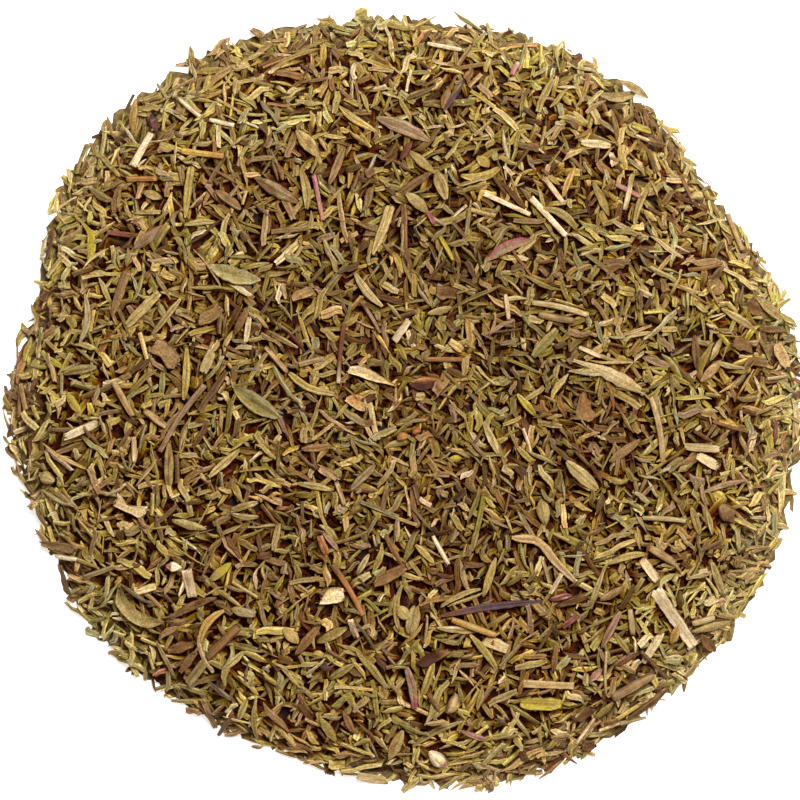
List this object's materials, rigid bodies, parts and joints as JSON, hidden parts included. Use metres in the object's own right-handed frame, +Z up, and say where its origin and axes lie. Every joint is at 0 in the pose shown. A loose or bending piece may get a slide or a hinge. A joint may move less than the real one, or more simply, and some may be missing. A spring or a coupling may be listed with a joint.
{
  "type": "dried thyme leaf heap",
  "caption": "Round, low, loose heap of dried rubbed thyme: small rolled leaves with bits of twig, torn leaf, husk and bud on top, resting flat on a table.",
  "frame": {"origin": "middle of the outline of the heap, on its flat underside, where it rests", "axes": "+Z up out of the heap, its thinnest way; +X to the right and +Y away from the viewer when seen from above"},
  "size_m": [0.128, 0.1246, 0.0196],
  "materials": {
    "packed_leaf": "dry, crumbly mat of small rolled leaves, dull",
    "green_leaf": "dried olive-green leaf, dull with a faint waxy sheen on the ridges",
    "pale_leaf": "dried pale straw-green leaf, dull",
    "yellow_leaf": "dried yellow-green leaf, faint waxy sheen",
    "brown_leaf": "dried brown leaf, dull",
    "grey_leaf": "dried grey-green leaf with a fine felt, dull",
    "purple_leaf": "dried purple-brown leaf, faint sheen",
    "straw_stem": "dry split stem, pale and fibrous, slight sheen",
    "orange_stem": "dry orange-tan stem, fibrous",
    "brown_stem": "dry brown twig bark, dull",
    "purple_stem": "dry magenta to plum stem, slight sheen",
    "grey_stem": "dry greyish fibrous stem, dull",
    "brown_flake": "dry torn brown leaf, dull",
    "tan_flake": "dry torn tan leaf, dull",
    "pale_flake": "dry torn cream leaf, dull",
    "husk": "dry ribbed flower husk, papery, dull",
    "bud": "dry closed flower bud, dull"
  },
  "bodies": {
    "root": {"leaf_mass": "packed_leaf", "broad_green_leaf": "green_leaf", "folded_green_leaf": "green_leaf", "broad_pale_leaf": "pale_leaf", "bright_green_leaf": "yellow_leaf", "blunt_khaki_leaf": "green_leaf", "silver_curved_leaf": "grey_leaf", "yellow_curved_leaf": "yellow_leaf", "upright_green_leaf": "green_leaf", "mauve_leaf": "brown_leaf", "speckled_leaf": "green_leaf", "gold_leaf": "yellow_leaf", "ribbed_mauve_leaf": "brown_leaf", "grey_brown_leaf": "brown_leaf", "long_gold_leaf": "yellow_leaf", "magenta_edged_leaf": "purple_leaf", "pale_short_leaf": "pale_leaf", "red_brown_leaf": "brown_leaf", "bent_yellow_leaf": "yellow_leaf", "twisted_khaki_leaf": "pale_leaf", "tan_curled_leaf": "pale_leaf", "long_purple_leaf": "purple_leaf", "short_purple_leaf": "purple_leaf", "pale_green_leaf": "pale_leaf", "edge_green_leaf": "green_leaf", "dark_olive_leaf": "green_leaf", "spoon_leaf": "brown_leaf", "rim_yellow_leaf": "yellow_leaf", "magenta_tipped_leaf": "brown_leaf", "long_khaki_leaf": "green_leaf", "pale_straw_chip": "straw_stem", "orange_twig": "orange_stem", "amber_twig": "orange_stem", "rose_twig": "purple_stem", "thin_straw_twig": "straw_stem", "long_straw_twig": "straw_stem", "plum_twig": "purple_stem", "pale_middle_chip": "grey_stem", "mauve_twig": "grey_stem", "thick_straw_chip": "straw_stem", "square_cut_chip": "straw_stem", "tan_bark_strip": "orange_stem", "rim_brown_twig": "brown_stem", "orange_brown_twig": "orange_stem", "brown_cupped_flake": "brown_flake", "tan_middle_flake": "tan_flake", "split_brown_flake": "brown_flake", "torn_tan_flake": "tan_flake", "cream_folded_flake": "pale_flake", "red_brown_flake": "brown_flake", "tan_brown_flake": "tan_flake", "dark_rim_flake": "brown_flake", "orange_rim_flake": "tan_flake", "dark_split_flake": "brown_flake", "flat_dark_flake": "brown_flake", "ribbed_rim_husk": "husk", "cream_rim_husk": "husk", "brown_bud": "bud", "cream_bud": "bud"}
  },
  "joints": []
}
